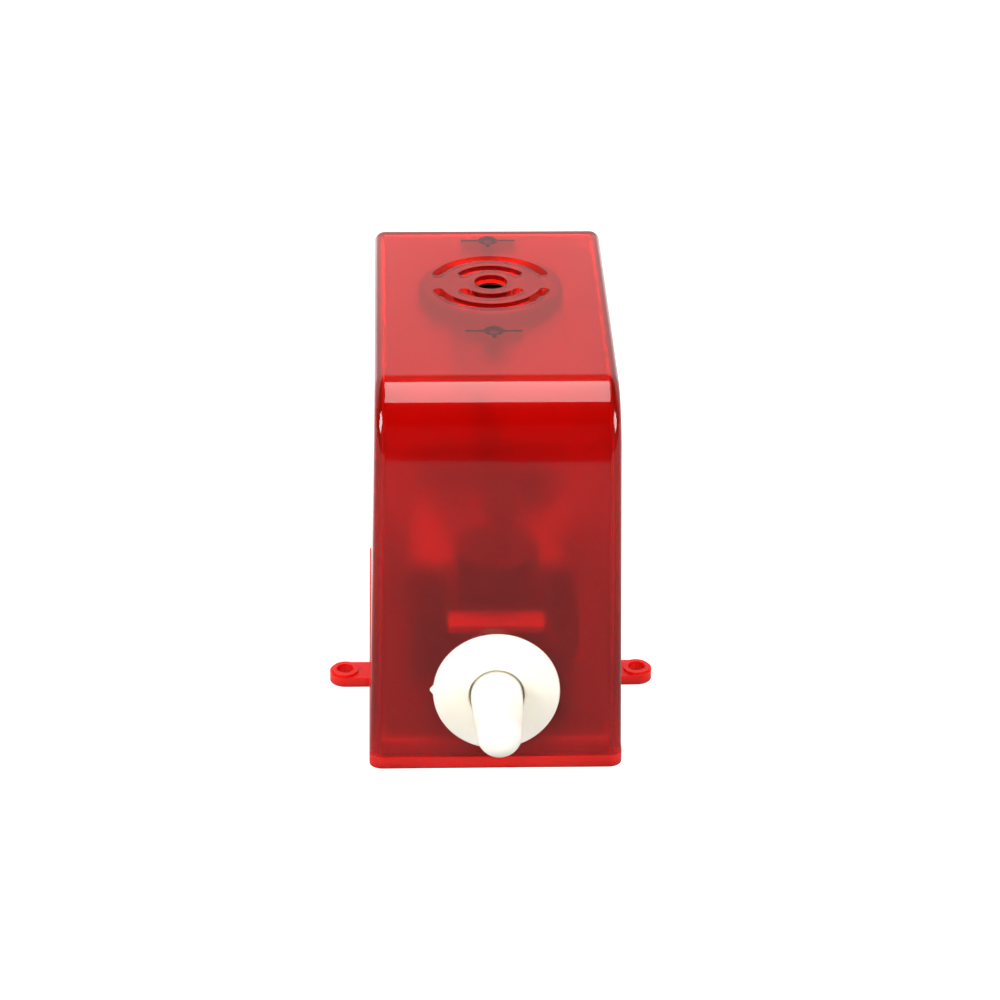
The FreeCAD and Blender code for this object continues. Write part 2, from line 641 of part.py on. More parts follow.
def make_choke_coil():
    """Copper winding between the cheeks, as rings of wire side by side."""
    low = BOARD_TOP + CHEEK_T
    high = COIL_TOP - CHEEK_T
    pitch = (high - low) / WINDING_TURNS
    hollow_r = WINDING_R - 0.4
    points = [V(CORE_R, 0, low)]
    for k in range(WINDING_TURNS):
        z = low + k * pitch
        points += [V(hollow_r, 0, z), V(WINDING_R, 0, z + pitch / 2)]
    points += [V(hollow_r, 0, high), V(CORE_R, 0, high)]
    face = Part.Face(Part.makePolygon(points + points[:1]))
    ring = face.revolve(V(0, 0, 0), V(0, 0, 1), 360)
    ring.translate(V(COIL_X, COIL_Y, 0))
    return ring


CHIP_X = -9.0
CHIP_Y = 12.5           # front end
CHIP_L = 9.6
CHIP_HALF_W = 3.2
CHIP_H = 3.3
LEG_PITCH = 2.54


def make_driver_chip():
    """Eight-pin chip body with its index notch."""
    low = BOARD_TOP + 0.5
    high = low + CHIP_H
    chip = block(CHIP_X - CHIP_HALF_W, CHIP_X + CHIP_HALF_W, CHIP_Y, CHIP_Y + CHIP_L, low, high)
    end = (CHIP_X, CHIP_Y + CHIP_L, high - 0.5)
    return chip.cut(rod(0.9, end, (CHIP_X, CHIP_Y + CHIP_L, high + 1)))


def make_chip_legs():
    """Eight bent legs, four each side of the chip."""
    legs = []
    for side in (-1, 1):
        for k in range(4):
            y = CHIP_Y + 1.0 + LEG_PITCH * k
            x = CHIP_X + side * CHIP_HALF_W
            x0, x1 = sorted((x, x + side * 0.7))
            legs.append(block(x0, x1, y - 0.3, y + 0.3, BOARD_TOP, BOARD_TOP + 2.2))
    return group(legs)


def make_capacitor():
    """Electrolytic can with a rolled neck, standing on the board."""
    x, y = 11.2, 16.5
    high = BOARD_TOP + 11.5
    can = rod(4.0, (x, y, BOARD_TOP), (x, y, high))
    can = can.makeFillet(0.6, [e for e in can.Edges if e.BoundBox.ZMin > high - 0.5])
    neck = Part.makeTorus(4.25, 0.5, V(x, y, BOARD_TOP + 1.6), V(0, 0, 1))
    return can.cut(neck)


def make_transistor():
    """Half-round transistor on three short legs."""
    x, y = 3.5, 2.0
    body = rod(2.4, (x, y, BOARD_TOP + 1.5), (x, y, BOARD_TOP + 6.2))
    body = body.cut(block(x - 3, x + 3, y + 1.3, y + 4, 0, FAR))
    legs = [block(x + d - 0.22, x + d + 0.22, y - 0.22, y + 0.22, BOARD_TOP, BOARD_TOP + 1.8)
            for d in (-1.27, 0, 1.27)]
    return joined([body] + legs)


def axial_part(x, y, z, half_length, radius, end_r):
    """Axial part along X: a body with fuller ends and two bent legs."""
    body = rod(radius, (x - half_length, y, z), (x + half_length, y, z))
    ends = [rod(end_r, (x + s * (half_length - 0.7), y, z), (x + s * half_length, y, z))
            for s in (-1, 1)]
    legs = [rod(0.28, (x - half_length - 1.6, y, z), (x + half_length + 1.6, y, z))]
    for s in (-1, 1):
        leg_x = x + s * (half_length + 1.6)
        legs.append(rod(0.28, (leg_x, y, BOARD_TOP), (leg_x, y, z + 0.28)))
    return joined([body] + ends + legs)


def make_resistors():
    z = BOARD_TOP + 1.4
    return group([axial_part(-9.0, y, z, 3.0, 0.9, 1.15) for y in (3.0, 6.2, 9.4)]
                 + [axial_part(2.5, 18.6, z, 3.0, 0.9, 1.15)])


def make_diode():
    return axial_part(3.0, 14.0, BOARD_TOP + 1.6, 2.6, 1.3, 1.3)


# ---------------------------------------------------------------- buzzer
def make_buzzer_case():
    """Shallow round case with a centre sound hole, a disc seat and flat sides for its clip."""
    low = BUZZER_TOP - BUZZER_H
    case = Part.makeCylinder(BUZZER_R, BUZZER_H, V(0, GRILLE_Y, low))
    rims = [e for e in case.Edges if e.BoundBox.XLength > BUZZER_R and e.BoundBox.ZLength < 1]
    case = case.makeFillet(0.6, rims)
    room = Part.makeCylinder(15.2, 2.6, V(0, GRILLE_Y, low + 1.0))
    room2 = Part.makeCylinder(13.2, 1.4, V(0, GRILLE_Y, low + 3.4))
    mouth = Part.makeCylinder(5.0, 3.0, V(0, GRILLE_Y, BUZZER_TOP - 2))
    return case.cut([room, room2, mouth])


def make_buzzer_disc():
    """Brass disc with a smaller ceramic disc on its upper face."""
    low = BUZZER_TOP - BUZZER_H + 2.8
    brass = Part.makeCylinder(15.0, 0.4, V(0, GRILLE_Y, low))
    ceramic = Part.makeCylinder(10.5, 0.3, V(0, GRILLE_Y, low - 0.3))
    return brass.fuse(ceramic)


def make_buzzer_strap():
    """Sprung strap across the buzzer's underside, screwed to both bosses."""
    z1 = BUZZER_TOP - BUZZER_H
    y0 = GRILLE_Y - BUZZER_SCREW
    y1 = GRILLE_Y + BUZZER_SCREW
    bar = block(-4.0, 4.0, y0, y1, z1 - 1.2, z1)
    ends = [Part.makeCylinder(4.0, 1.2, V(0, y, z1 - 1.2)) for y in (y0, y1)]
    ends[1] = ends[1].common(block(-4, 4, y1 - 4, y1 + 1.9, 0, FAR))
    strap = joined([bar] + ends)
    return strap.cut([Part.makeCylinder(1.2, 4, V(0, y, z1 - 2)) for y in (y0, y1)])


def make_buzzer_screws():
    z = BUZZER_TOP - BUZZER_H - 1.2
    return group([screw(0, GRILLE_Y + s * BUZZER_SCREW, z, 1, 6.0, 1.0, 2.0, 1.2)
                  for s in (-1, 1)])


def make_buzzer_leads():
    """Pair of wires from the middle of the board up to the buzzer."""
    made = []
    top = BUZZER_TOP - BUZZER_H
    for k in (0, 1):
        x = -1.6 + 3.0 * k
        made.append(lead([(x, -8.0, BOARD_TOP), (x, -8.0, 46.0), (x - 0.5, -6.0, 58.0),
                          (x - 1.5, -2.0, 68.0), (-6.6 - 2.0 * k, 5.0, 76.0),
                          (-6.6 - 2.0 * k, 5.0, top)]))
    return group(made)


def make_switch_leads():
    """Pair of wires from the microswitch over the board's edge."""
    made = []
    for k, s in enumerate((TERMINALS_S[0], TERMINALS_S[2])):
        start = on_axis(CASE_X1 + 2.2, s, 0.25)
        land_y = -5.0 + 3.0 * k
        made.append(lead([start, (start[0], start[1], 27.0),
                          (start[0] - 0.4, start[1] + 4.0 - 3.0 * k, 36.5),
                          (17.2, land_y - 4.0, 41.5), (15.6, land_y, 37.5),
                          (15.6, land_y, BOARD_TOP)]))
    return group(made)


MAKERS = {
    "cover": make_cover,
    "base_plate": make_base_plate,
    "cover_screws": make_cover_screws,
    "switch_body": make_switch_body,
    "guide_nut": make_guide_nut,
    "barrel_cap": make_barrel_cap,
    "plunger": make_plunger,
    "plunger_cam": make_plunger_cam,
    "plunger_spring": make_plunger_spring,
    "microswitch_case": make_microswitch_case,
    "microswitch_lever": make_microswitch_lever,
    "microswitch_button": make_microswitch_button,
    "microswitch_terminals": make_microswitch_terminals,
    "switch_bracket": make_switch_bracket,
    "switch_screws": make_switch_screws,
    "battery_box": make_battery_box,
    "battery": make_battery,
    "battery_terminals": make_battery_terminals,
    "battery_snap": make_battery_snap,
    "battery_pad": make_battery_pad,
    "battery_leads": make_battery_leads,
    "circuit_board": make_circuit_board,
    "board_screws": make_board_screws,
    "coil_core": make_coil_core,
    "choke_coil": make_choke_coil,
    "driver_chip": make_driver_chip,
    "chip_legs": make_chip_legs,
    "capacitor": make_capacitor,
    "transistor": make_transistor,
    "resistors": make_resistors,
    "diode": make_diode,
    "buzzer_case": make_buzzer_case,
    "buzzer_disc": make_buzzer_disc,
    "buzzer_strap": make_buzzer_strap,
    "buzzer_screws": make_buzzer_screws,
    "buzzer_leads": make_buzzer_leads,
    "switch_leads": make_switch_leads,
}

os.makedirs("parts", exist_ok=True)
for name, make in MAKERS.items():
    shape = make()
    print("%-22s solids %2d valid %s volume %9.1f" % (
        name, len(shape.Solids), shape.isValid(), shape.Volume))
    shape.exportStep("parts/%s.step" % name)
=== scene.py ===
"""Door plunger alarm siren: a translucent red box with a grille and a white plunger switch.

Metres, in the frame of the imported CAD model: X to the right, Y to the back, Z up, and the
origin in the middle of the underside of the base plate.
"""
import json
import math
import bpy
import numpy as np
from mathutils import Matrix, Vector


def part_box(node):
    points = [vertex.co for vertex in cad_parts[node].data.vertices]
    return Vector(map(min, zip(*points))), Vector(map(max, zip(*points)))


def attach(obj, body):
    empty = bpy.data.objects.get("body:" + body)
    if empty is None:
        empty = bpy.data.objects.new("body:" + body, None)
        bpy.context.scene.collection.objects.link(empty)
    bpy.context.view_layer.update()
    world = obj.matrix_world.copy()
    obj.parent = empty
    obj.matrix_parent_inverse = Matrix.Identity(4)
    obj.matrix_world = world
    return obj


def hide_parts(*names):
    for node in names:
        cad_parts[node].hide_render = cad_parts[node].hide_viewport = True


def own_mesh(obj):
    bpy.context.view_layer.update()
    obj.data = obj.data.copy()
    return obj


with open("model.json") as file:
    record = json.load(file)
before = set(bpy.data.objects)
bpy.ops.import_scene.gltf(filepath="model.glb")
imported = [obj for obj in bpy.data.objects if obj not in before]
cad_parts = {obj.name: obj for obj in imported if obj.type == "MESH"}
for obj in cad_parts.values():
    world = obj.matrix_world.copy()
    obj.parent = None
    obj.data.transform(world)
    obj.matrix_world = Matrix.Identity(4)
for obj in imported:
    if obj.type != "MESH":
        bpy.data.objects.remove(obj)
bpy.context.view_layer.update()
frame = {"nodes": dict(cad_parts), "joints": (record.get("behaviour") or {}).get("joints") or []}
nodes = frame["nodes"]
scene = bpy.context.scene
MM = 0.001


# ---------------------------------------------------------------- camera
# A long lens looks down on the siren from the front, a little left of its middle.
def camera_axes(yaw, pitch, roll):
    """Right, up and forward of a camera turned by yaw, tipped down by pitch, then rolled.
    Forward is the yaw's sine and cosine times the pitch's cosine, less the pitch's sine."""
    forward = np.array([math.sin(yaw) * math.cos(pitch), math.cos(yaw) * math.cos(pitch),
                        -math.sin(pitch)])
    right = np.array([math.cos(yaw), -math.sin(yaw), 0.0])
    up = np.cross(right, forward)
    rolled = math.cos(roll) * right + math.sin(roll) * up
    return rolled, math.cos(roll) * up - math.sin(roll) * right, forward


def placed(thing, at, right, up, back):
    """Puts a lamp or camera at a point, with its own X, Y and Z along three directions."""
    matrix = np.eye(4)
    matrix[:3, 0] = right
    matrix[:3, 1] = up
    matrix[:3, 2] = back
    matrix[:3, 3] = at
    thing.matrix_world = matrix.T.tolist()
    scene.collection.objects.link(thing)


CAMERA_AT = (-0.0245, -0.7169, 0.4341)
YAW, PITCH, ROLL = (math.radians(a) for a in (2.124, 28.563, 0.632))
FOCAL_LENGTH = 123.86
SENSOR_WIDTH = 36.0
NEAREST = 0.01
lens = bpy.data.cameras.new("camera")
lens.lens = FOCAL_LENGTH
lens.sensor_width = SENSOR_WIDTH
lens.clip_start = NEAREST
camera = bpy.data.objects.new("camera", lens)
right, up, forward = camera_axes(YAW, PITCH, ROLL)
placed(camera, CAMERA_AT, right, up, -forward)
scene.camera = camera
scene.view_settings.view_transform = "Standard"


# ---------------------------------------------------------------- studio
# A white sheet of paper that ends a little ahead of the siren, a bright wall behind it, and soft
# boxes above, behind, beside and before it. The room beyond the paper's front edge is dark, and
# the top front curve mirrors it as a deep red band. The eye sees the room itself as white.
def linear(hex_colour):
    """sRGB hex to the linear RGBA that the shaders take."""
    parts = [int(hex_colour[i:i + 2], 16) / 255 for i in (1, 3, 5)]
    return tuple(p / 12.92 if p <= 0.04045 else ((p + 0.055) / 1.055) ** 2.4
                 for p in parts) + (1.0,)


def node(tree, kind, settings=None, links=None, **values):
    """Adds one shader node: its settings, its socket values, and links into its sockets."""
    made = tree.nodes.new(kind)
    for name, value in (settings or {}).items():
        setattr(made, name, value)
    for name, value in values.items():
        key = int(name[1:]) if name[0] == "_" else name.replace("_", " ")
        made.inputs[key].default_value = value
    for name, source in (links or {}).items():
        tree.links.new(source, made.inputs[name])
    return made


# How far a ray points back, and up, each from 0 to 1, where the wall's light begins and ends.
WALL_STARTS, WALL_FULL = 0.1, 0.6
WALL_FADES, WALL_GONE = 0.49, 0.62
FRONT_LEVEL = 0.07
CEILING_LEVEL = 0.05
WHITE = (1.0, 1.0, 1.0, 1.0)
world = bpy.data.worlds.new("studio")
world.use_nodes = True
scene.world = world
tree = world.node_tree
tree.nodes.clear()
direction = node(tree, "ShaderNodeTexCoord")
split = node(tree, "ShaderNodeSeparateXYZ", links={"Vector": direction.outputs["Generated"]})
behind = node(tree, "ShaderNodeMapRange", {"interpolation_type": "SMOOTHSTEP"},
              {"Value": split.outputs["Y"]}, From_Min=WALL_STARTS, From_Max=WALL_FULL,
              To_Min=FRONT_LEVEL, To_Max=1.0)
wall_top = node(tree, "ShaderNodeMapRange", {"interpolation_type": "SMOOTHSTEP"},
                {"Value": split.outputs["Z"]}, From_Min=WALL_FADES, From_Max=WALL_GONE,
                To_Min=1.0, To_Max=CEILING_LEVEL)
depth = node(tree, "ShaderNodeMath", {"operation": "MULTIPLY"},
             {0: behind.outputs[0], 1: wall_top.outputs[0]})
room = node(tree, "ShaderNodeBackground", links={"Strength": depth.outputs[0]})
plain = node(tree, "ShaderNodeBackground", Color=WHITE, Strength=1.0)
seen = node(tree, "ShaderNodeLightPath")
pick = node(tree, "ShaderNodeMixShader", links={0: seen.outputs["Is Camera Ray"],
                                                1: room.outputs[0], 2: plain.outputs[0]})
node(tree, "ShaderNodeOutputWorld", links={"Surface": pick.outputs[0]})


def soft_box(name, at, aim, width, height, power, mirrored=True):
    """Flat rectangular lamp of so many watts at one point, facing another, in metres. Gloss
    shows it where mirrored is true."""
    lamp = bpy.data.lights.new(name, "AREA")
    lamp.shape = "RECTANGLE"
    lamp.size = width
    lamp.size_y = height
    lamp.energy = power
    back = np.array(at, float) - np.array(aim, float)
    back /= np.linalg.norm(back)
    side = np.cross([0.0, 1.0, 0.0], back)
    side /= np.linalg.norm(side)
    box = bpy.data.objects.new(name, lamp)
    box.visible_camera = False
    box.visible_glossy = mirrored
    placed(box, at, side, np.cross(back, side), back)
    return box


# The first two light the inside through the clear cover; the others stay outside it.
through_cover = [
    soft_box("overhead_box", (0.02, 0.15, 0.95), (0.0, 0.0, 0.0), 0.34, 0.78, 4.5),
    soft_box("back_box", (0.0, 0.75, 0.14), (0.0, 0.0, 0.06), 0.6, 0.16, 4.5, mirrored=False)]
soft_box("left_box", (-0.85, -0.55, 0.6), (0.0, 0.0, 0.04), 0.5, 0.5, 11.5)
soft_box("front_box", (-0.1, -0.75, 0.1), (0.0, 0.0, 0.03), 0.5, 0.3, 1.6, mirrored=False)
soft_box("right_box", (0.85, -0.55, 0.6), (0.0, 0.0, 0.04), 0.5, 0.5, 9.6)


def material(name):
    """Empty node material, with its tree."""
    made = bpy.data.materials.new(name)
    made.use_nodes = True
    made.node_tree.nodes.clear()
    return made, made.node_tree


def finish_material(made, surface):
    """Links a shader to the material's output."""
    node(made.node_tree, "ShaderNodeOutputMaterial", links={"Surface": surface.outputs[0]})
    return made


def grain(tree, per_mm, depth_mm, detail=2.0, roughness=0.5):
    """Fine moulded or cast grain as a bump, from noise with so many grains a millimetre."""
    place = node(tree, "ShaderNodeTexCoord")
    noise = node(tree, "ShaderNodeTexNoise", links={"Vector": place.outputs["Object"]},
                 Scale=per_mm / MM, Detail=detail, Roughness=roughness)
    return node(tree, "ShaderNodeBump", links={"Height": noise.outputs["Fac"]},
                Distance=depth_mm * MM, Strength=1.0), noise


PAPER_HALF = 4.0
PAPER_FRONT = -0.28
PAPER_DROP = 0.0002
floor_mesh = bpy.data.meshes.new("floor")
sheet = [(-PAPER_HALF, PAPER_FRONT), (PAPER_HALF, PAPER_FRONT),
         (PAPER_HALF, PAPER_HALF), (-PAPER_HALF, PAPER_HALF)]
floor_mesh.from_pydata([(x, y, -PAPER_DROP) for x, y in sheet], [], [(0, 1, 2, 3)])
floor = bpy.data.objects.new("floor", floor_mesh)
scene.collection.objects.link(floor)

# Matt uncoated paper: no shine, and soft light in the plastic that stands on it. Behind the
# siren's front it is lit from below, which gives the red walls their glow.
GLOW_STARTS, GLOW_FULL = -0.04, 0.1
PAPER_GLOW = 0.78
made, tree = material("white paper, uncoated")
paper_bump, _ = grain(tree, 0.5, 0.02)
place = node(tree, "ShaderNodeTexCoord")
split = node(tree, "ShaderNodeSeparateXYZ", links={"Vector": place.outputs["Object"]})
backlit = node(tree, "ShaderNodeMapRange", {"interpolation_type": "SMOOTHSTEP"},
               {"Value": split.outputs["Y"]}, From_Min=GLOW_STARTS, From_Max=GLOW_FULL,
               To_Min=0.0, To_Max=PAPER_GLOW)
seen = node(tree, "ShaderNodeLightPath")
glow = node(tree, "ShaderNodeMath", {"operation": "MAXIMUM"},
            {0: seen.outputs["Is Camera Ray"], 1: backlit.outputs[0]})
surface = node(tree, "ShaderNodeBsdfPrincipled",
               links={"Normal": paper_bump.outputs[0], "Emission Strength": glow.outputs[0]},
               Base_Color=linear("#a0a0a0"), Roughness=0.9, Specular_IOR_Level=0.1,
               Emission_Color=WHITE)
floor_mesh.materials.append(finish_material(made, surface))


# ---------------------------------------------------------------- cover
# Box moulded in clear red styrene, polished outside and lightly textured inside. The wall is
# 2 mm thick, so what is behind it shows as soft shapes, and the grille is cut right through.
CLEAR_IOR = 1.49
UNEVEN = 0.2


def red_plastic(name, colour, roughness, grain_mm, see_through):
    """Clear red styrene: it tints what it passes, and its skin is as smooth as its mould. The
    roughness drifts with the grain, by the uneven share either way."""
    made, tree = material(name)
    bump, noise = grain(tree, *grain_mm)
    cloud = node(tree, "ShaderNodeMapRange", links={"Value": noise.outputs["Fac"]},
                 To_Min=roughness * (1 - UNEVEN), To_Max=roughness * (1 + UNEVEN))
    surface = node(tree, "ShaderNodeBsdfPrincipled",
                   links={"Normal": bump.outputs[0], "Roughness": cloud.outputs[0]},
                   Base_Color=linear(colour), IOR=CLEAR_IOR,
                   Transmission_Weight=see_through)
    return finish_material(made, surface)


def copy_of(cad_node, name, slots):
    """Merged copy of a CAD node's mesh, at the origin, with its own materials: points that fall
    together become one, and triangles that shrink to a line are left out."""
    source = nodes[cad_node].data
    points = np.empty(len(source.vertices) * 3)
    source.vertices.foreach_get("co", points)
    corners = np.empty(len(source.loops), np.int32)
    source.loops.foreach_get("vertex_index", corners)
    unique, index = np.unique(np.round(points.reshape(-1, 3), 8), axis=0, return_inverse=True)
    faces = index.ravel()[corners].reshape(-1, 3)
    whole = (faces != np.roll(faces, 1, axis=1)).all(axis=1)
    faces = faces[whole]
    mesh = bpy.data.meshes.new(name)
    mesh.from_pydata(unique, [], faces.tolist())
    for finish in slots:
        mesh.materials.append(finish)
    piece = bpy.data.objects.new(name, mesh)
    scene.collection.objects.link(piece)
    return piece, unique, faces


def smooth_by_angle(piece, degrees):
    """Smooth shading, with creases kept sharp past an angle."""
    mesh = piece.data
    mesh.polygons.foreach_set("use_smooth", np.ones(len(mesh.polygons), bool))
    mesh.set_sharp_from_angle(angle=math.radians(degrees))


# Polished mould: sharp mirror images outside. Textured mould: the inside blurs what lies behind
# it. Spark-eroded ribs and screw posts: dull, and coloured dark as painted shade where the wall is
# thick.
polished = red_plastic("clear red styrene, polished", "#d4130c", 0.04, (0.05, 0.01), 0.895)
textured = red_plastic("clear red styrene, mould texture", "#d4130c", 0.33, (1.2, 0.003), 0.91)
rib_painted_shade = red_plastic("clear red styrene, eroded ribs in painted shade", "#4f0d0b", 0.6, (1.2, 0.02), 0.5)
cover, points, faces = copy_of("cover", "cover_shell", [polished, textured, rib_painted_shade])
corners = points[faces]
normal = np.cross(corners[:, 1] - corners[:, 0], corners[:, 2] - corners[:, 0])
heart = np.mean(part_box("cover"), axis=0)
middle = corners.mean(axis=1)
finish = (np.einsum("ij,ij->i", normal, middle - heart) < 0).astype(np.int32)
RIB_REACH_X = 7.0 * MM
RIB_REACH_Y = 4.0 * MM
RIB_FROM = 80.0 * MM
POST_FROM_SOUNDER = 25.0 * MM
UNDER_ROOF = 2.05 * MM
GRILLE_R = 15.5 * MM
sounder = np.mean(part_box("buzzer_case"), axis=0)
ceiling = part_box("cover")[1][2] - UNDER_ROOF
posts = sounder[1] + POST_FROM_SOUNDER * np.array([[-1.0], [1.0]])
by_post = (np.abs(middle[:, 1] - posts) < RIB_REACH_Y).any(axis=0)
# Rib and post faces under the roof get the dark finish: painted shade, where no light comes
# through.
finish[by_post & (np.abs(middle[:, 0]) < RIB_REACH_X) & (middle[:, 2] < ceiling)
       & (middle[:, 2] > RIB_FROM)] = 2
upright = np.abs(normal[:, 2]) < 0.5 * np.linalg.norm(normal, axis=1)
near_grille = np.linalg.norm(middle[:, :2] - sounder[:2], axis=1) < GRILLE_R
finish[near_grille & upright] = 0
cover.data.polygons.foreach_set("material_index", finish)
smooth_by_angle(cover, 32)
unshaded = bpy.data.collections.new("lets_light_through")
unshaded.objects.link(cover)
unshaded.collection_objects[0].light_linking.link_state = "EXCLUDE"
for lamp in through_cover:
    lamp.light_linking.blocker_collection = unshaded
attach(cover, "housing")
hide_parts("cover")


# ---------------------------------------------------------------- base plate
# Plate of the same red styrene, unpolished, thick enough to glow where light enters its
# edges and its two screw ears.
FLOOR_SIDE, FLOOR_SIDE_END = 26.0 * MM, 29.0 * MM
FLOOR_FRONT_END, FLOOR_FRONT = -46.0 * MM, -36.0 * MM


def glowing_red(name, colour, floor_painted_shade, roughness):
    """Red styrene that scatters light inside: bright where it is thin or lit from behind. Its
    floor inside the cover is coloured darker, as painted shade where no light passes through from
    below."""
    made, tree = material(name)
    bump, _ = grain(tree, 0.6, 0.01)
    place = node(tree, "ShaderNodeTexCoord")
    split = node(tree, "ShaderNodeSeparateXYZ", links={"Vector": place.outputs["Object"]})
    sideways = node(tree, "ShaderNodeMath", {"operation": "ABSOLUTE"}, {0: split.outputs["X"]})
    beside = node(tree, "ShaderNodeMapRange", links={"Value": sideways.outputs[0]},
                  From_Min=FLOOR_SIDE, From_Max=FLOOR_SIDE_END, To_Min=1.0, To_Max=0.0)
    ahead = node(tree, "ShaderNodeMapRange", links={"Value": split.outputs["Y"]},
                 From_Min=FLOOR_FRONT_END, From_Max=FLOOR_FRONT, To_Min=0.0, To_Max=1.0)
    inside = node(tree, "ShaderNodeMath", {"operation": "MULTIPLY"},
                  {0: beside.outputs[0], 1: ahead.outputs[0]})
    # Inside the lip the colour turns to the darker painted-shade colour.
    shade = node(tree, "ShaderNodeMix", {"data_type": "RGBA"}, {0: inside.outputs[0]},
                 _6=linear(colour), _7=linear(floor_painted_shade))
    surface = node(tree, "ShaderNodeBsdfPrincipled",
                   links={"Normal": bump.outputs[0], "Base Color": shade.outputs[2]},
                   Roughness=roughness, IOR=CLEAR_IOR,
                   Subsurface_Weight=0.9, Subsurface_Radius=(1.0, 0.05, 0.04),
                   Subsurface_Scale=6.0 * MM)
    return finish_material(made, surface)


def dress(finish, *names):
    """Gives CAD nodes that stay in the picture their material."""
    for name in names:
        mesh = nodes[name].data
        mesh.materials.clear()
        mesh.materials.append(finish)


# As it leaves the mould: a soft shine, and edges that light up from within.
# The darker second colour is painted shade on the floor inside the cover.
moulded_red = glowing_red("red styrene, as moulded", "#dc1912", "#8e130f", 0.25)
dress(moulded_red, "base_plate")


# ---------------------------------------------------------------- switch flange and barrel
# One moulding in warm white nylon: a shallow domed flange against the front wall, with the stub
# of its moulding gate on the rim, and a threaded barrel behind the wall.
WEAR = 0.15


def moulded(name, colour, roughness, per_mm, depth_mm, metallic=0.0, drift=0.15, **extra):
    """One colour with a slight drift of shade and a fine grain, as a moulding or casting has.
    The roughness drifts with the grain, by the wear's share either way."""
    made, tree = material(name)
    bump, noise = grain(tree, per_mm, depth_mm)
    dark = tuple(c * (1 - drift) for c in linear(colour)[:3]) + (1.0,)
    shade = node(tree, "ShaderNodeMix", {"data_type": "RGBA"},
                 {0: noise.outputs["Fac"]}, _6=dark, _7=linear(colour))
    worn = node(tree, "ShaderNodeMapRange", links={"Value": noise.outputs["Fac"]},
                To_Min=roughness * (1 - WEAR), To_Max=roughness * (1 + WEAR))
    surface = node(tree, "ShaderNodeBsdfPrincipled",
                   links={"Normal": bump.outputs[0], "Base Color": shade.outputs[2],
                          "Roughness": worn.outputs[0]}, Metallic=metallic, **extra)
    return finish_material(made, surface)


slide = next(joint for joint in frame["joints"] if joint["name"] == "plunger_slide")
along = np.array(slide["axis"], float)
across = np.array([1.0, 0.0, 0.0])
upward = np.cross(across, along)
NUT_MIDDLE = 5.025 * MM
wall_point = np.mean(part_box("guide_nut"), axis=0) - along * NUT_MIDDLE


def on_switch(x, s, z):
    """Places on the switch: x to the right, s inwards along the plunger, z upwards, in mm."""
    return wall_point + MM * (x[..., None] * across + s[..., None] * along + z[..., None] * upward)


def surface_mesh(name, grid, around, poles, finish):
    """Mesh of a grid of points: its columns always close into rings, and its rows do too where
    around is true. Where poles is true, the first and last rows shrink to single points."""
    rows, columns = grid.shape[:2]
    index = np.arange(rows * columns).reshape(rows, columns)
    if poles:
        index[0] = index[0, 0]
        index[-1] = index[-1, 0]
    if around:
        index = np.vstack([index, index[:1]])
    index = np.hstack([index, index[:, :1]])
    quads = np.stack([index[:-1, :-1], index[1:, :-1], index[1:, 1:], index[:-1, 1:]], axis=-1)
    faces = [list(dict.fromkeys(q)) for q in quads.reshape(-1, 4).tolist()]
    used, flat = np.unique(np.concatenate([np.array(f) for f in faces]), return_inverse=True)
    points = grid.reshape(-1, 3)[used]
    sizes = np.cumsum([len(f) for f in faces])[:-1]
    faces = [f.tolist() for f in np.split(flat.ravel(), sizes)]
    a, b, c = (points[[f[k] for f in faces]] for k in (0, 1, 2))
    if np.einsum("ij,ij->", a - points.mean(axis=0), np.cross(b - a, c - a)) < 0:
        faces = [f[::-1] for f in faces]
    mesh = bpy.data.meshes.new(name)
    mesh.from_pydata(points, [], faces)
    mesh.materials.append(finish)
    piece = bpy.data.objects.new(name, mesh)
    scene.collection.objects.link(piece)
    return piece


def turned(profile, steps):
    """Radius and place along the axis, carried round it: x = r cos a, z = r sin a."""
    angle = np.linspace(0, 2 * math.pi, steps, endpoint=False)
    r, s = np.asarray(profile, float).T
    return r[:, None], s[:, None] + 0 * angle, angle[None, :]


def arc(r0, s0, radius, start, end, steps):
    """Points of a round edge: radius and place along the axis, from one angle to another."""
    a = np.radians(np.linspace(start, end, steps))
    return list(zip(r0 + radius * np.cos(a), s0 + radius * np.sin(a)))


# Sizes in mm, places along the axis from the wall's outer face: outwards is less than nothing.
FLANGE_R = 14.5
RIM_ROUND = 0.7
RIM_THICK = 1.25
DOME_RISE = 1.25
HUB_R = 6.9
LIP_ROUND = 0.4
LIP_AT = -2.1
MOUTH_R, MOUTH_AT = 6.3, -0.6
BORE_R = 5.95
BORE_AT = -0.3
BORE_EASE = 0.02
BARREL_R = 8.0
BARREL_END = 13.0
END_BEVEL = 0.2
THREAD_PITCH = 0.9
THREAD_DEPTH = 0.5
THREAD_FROM, THREAD_TO = 1.2, 9.6
THREAD_RELIEF = 0.9
GATE_AT = math.radians(177)
GATE_W = 0.055
GATE_TALL = 0.75
